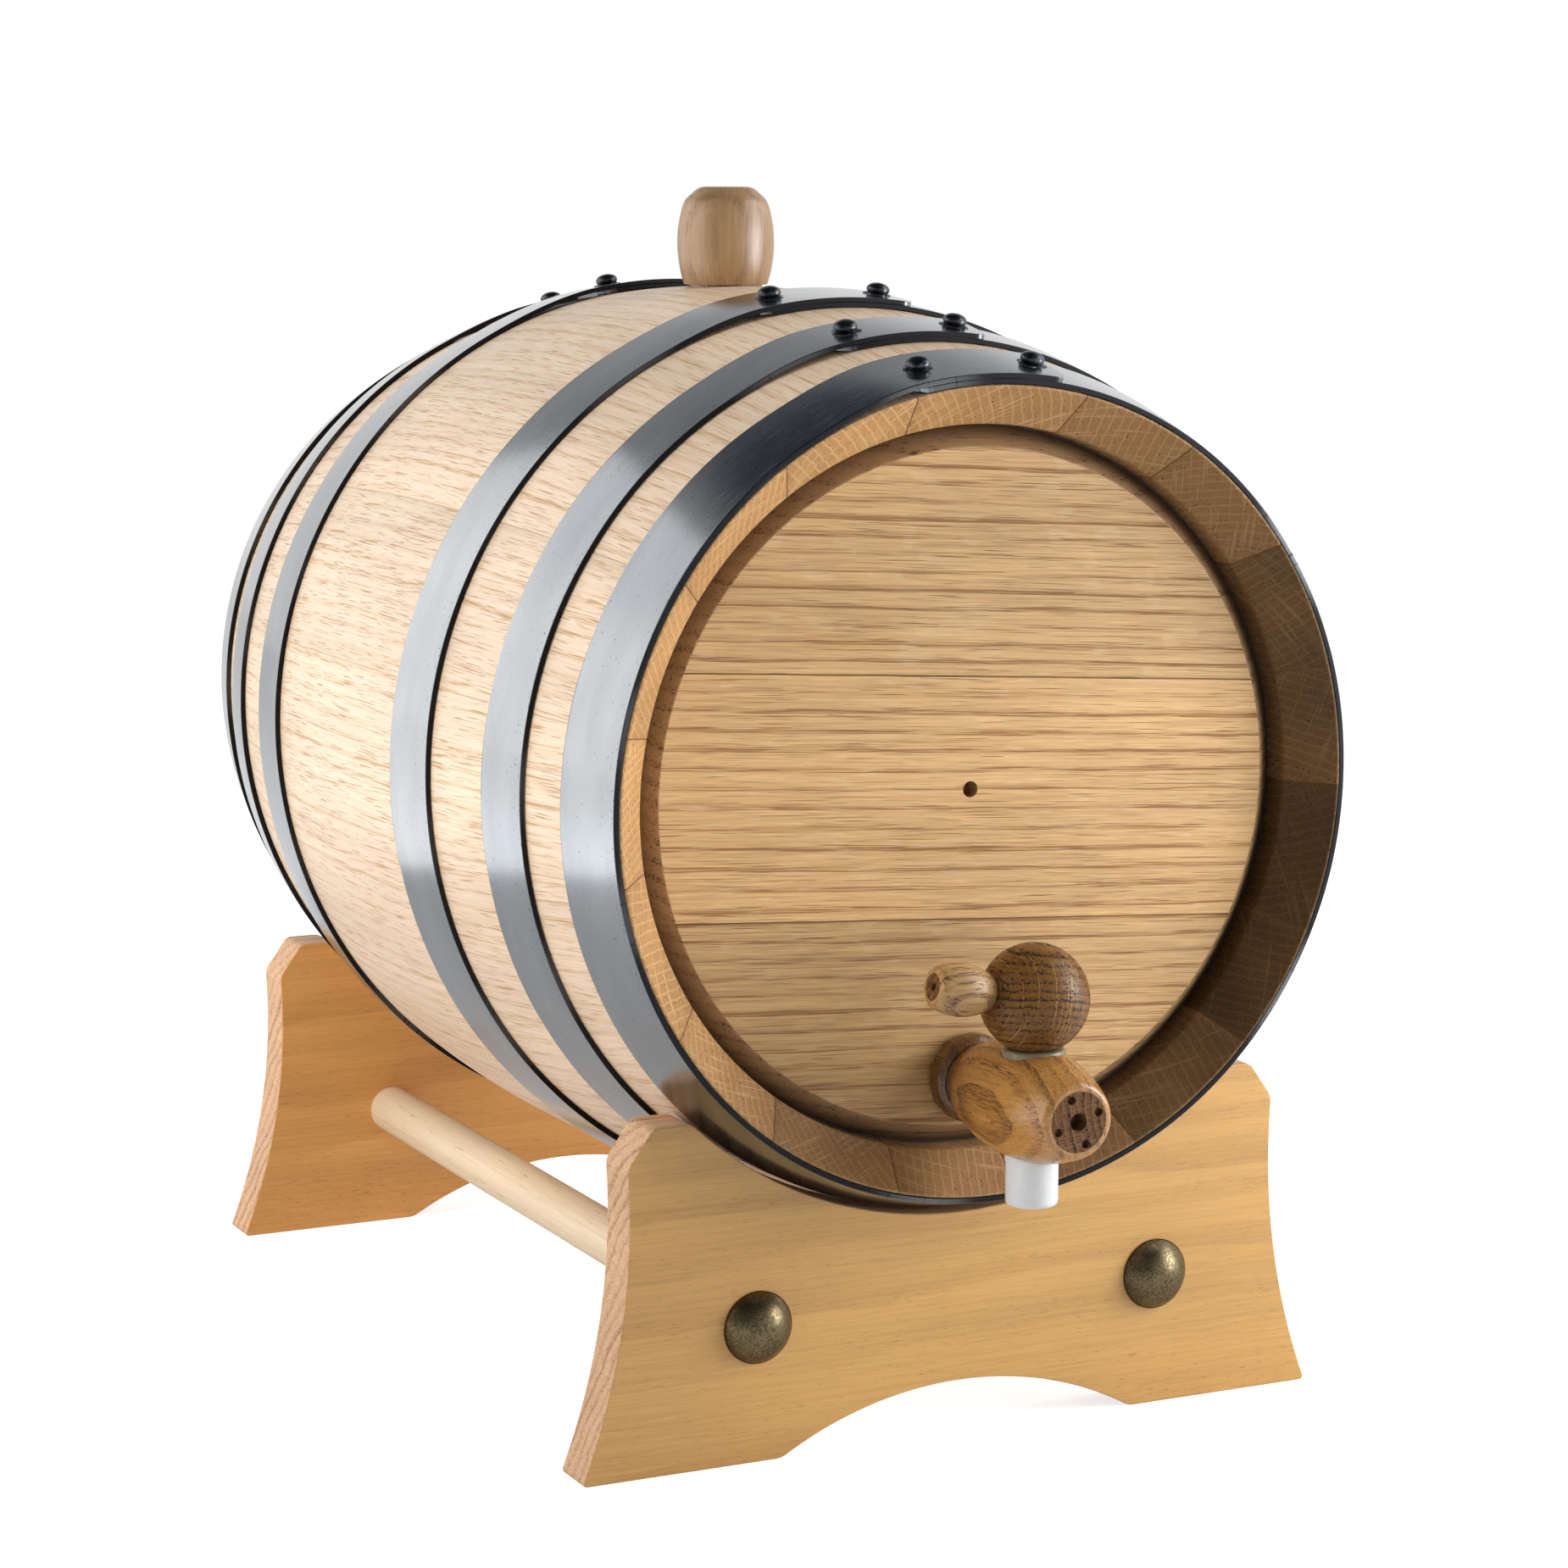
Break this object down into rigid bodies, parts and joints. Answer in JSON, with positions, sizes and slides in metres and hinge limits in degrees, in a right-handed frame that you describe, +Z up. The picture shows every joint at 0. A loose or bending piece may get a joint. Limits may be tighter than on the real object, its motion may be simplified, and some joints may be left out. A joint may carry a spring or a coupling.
{
  "type": "cask liquor dispenser",
  "caption": "Small hooped oak cask lying on a two-panel wooden cradle, with a turned bung on top and a wooden tap with a white spout low in its front head.",
  "frame": {"origin": "on the floor, under the middle of the whole object's bounding box", "axes": "+Z up, +Y from the front head with the tap to the rear head along the cask's axis, +X to the right as seen from the front"},
  "size_m": [0.177, 0.2463, 0.2302],
  "materials": {
    "stave_oak": "sanded, unvarnished",
    "head_oak": "sanded, unvarnished",
    "pin_wood": "plain",
    "hoop_steel": "dark steel strip, brushed along its length, with black cut edges",
    "rivet_steel": "blackened",
    "bung_oak": "turned",
    "tap_oak": "turned and oiled",
    "handle_oak": "turned and oiled",
    "spout_plastic": "white tube",
    "plug_plastic": "smooth",
    "stand_wood": "thin clear varnish",
    "dowel_wood": "sanded",
    "screw_steel": "zinc plated",
    "cap_bronze": "antique bronze"
  },
  "bodies": {
    "stand": {"front_panel": "stand_wood", "rear_panel": "stand_wood", "left_dowel": "dowel_wood", "right_dowel": "dowel_wood", "stand_screws": "screw_steel", "dome_caps": "cap_bronze"},
    "cask": {"stave_01": "stave_oak", "stave_02": "stave_oak", "stave_03": "stave_oak", "stave_04": "stave_oak", "stave_05": "stave_oak", "stave_06": "stave_oak", "stave_07": "stave_oak", "stave_08": "stave_oak", "stave_09": "stave_oak", "stave_10": "stave_oak", "stave_11": "stave_oak", "stave_12": "stave_oak", "stave_13": "stave_oak", "stave_14": "stave_oak", "stave_15": "stave_oak", "stave_16": "stave_oak", "stave_17": "stave_oak", "front_head_board_1": "head_oak", "front_head_board_2": "head_oak", "front_head_board_3": "head_oak", "rear_head_board_1": "head_oak", "rear_head_board_2": "head_oak", "rear_head_board_3": "head_oak", "head_pins": "pin_wood", "front_head_hoop": "hoop_steel", "front_quarter_hoop": "hoop_steel", "front_bilge_hoop": "hoop_steel", "rear_bilge_hoop": "hoop_steel", "rear_quarter_hoop": "hoop_steel", "rear_head_hoop": "hoop_steel", "hoop_rivets": "rivet_steel", "tap_body": "tap_oak", "tap_sleeve": "spout_plastic"},
    "bung": {"bung": "bung_oak"},
    "tap_key": {"tap_plug": "plug_plastic", "tap_ball": "tap_oak", "tap_handle": "handle_oak"}
  },
  "joints": [
    {"name": "cask_lift", "type": "slide", "parent": "stand", "child": "cask", "axis": [0, 0, 1], "range_m": [0, 0.12]},
    {"name": "bung_lift", "type": "slide", "parent": "cask", "child": "bung", "axis": [0, 0, 1], "range_m": [0, 0.06]},
    {"name": "tap_turn", "type": "hinge", "parent": "cask", "child": "tap_key", "pos_m": [0, -0.10685, 0.0686], "axis": [0, 0, 1], "continuous": true}
  ]
}
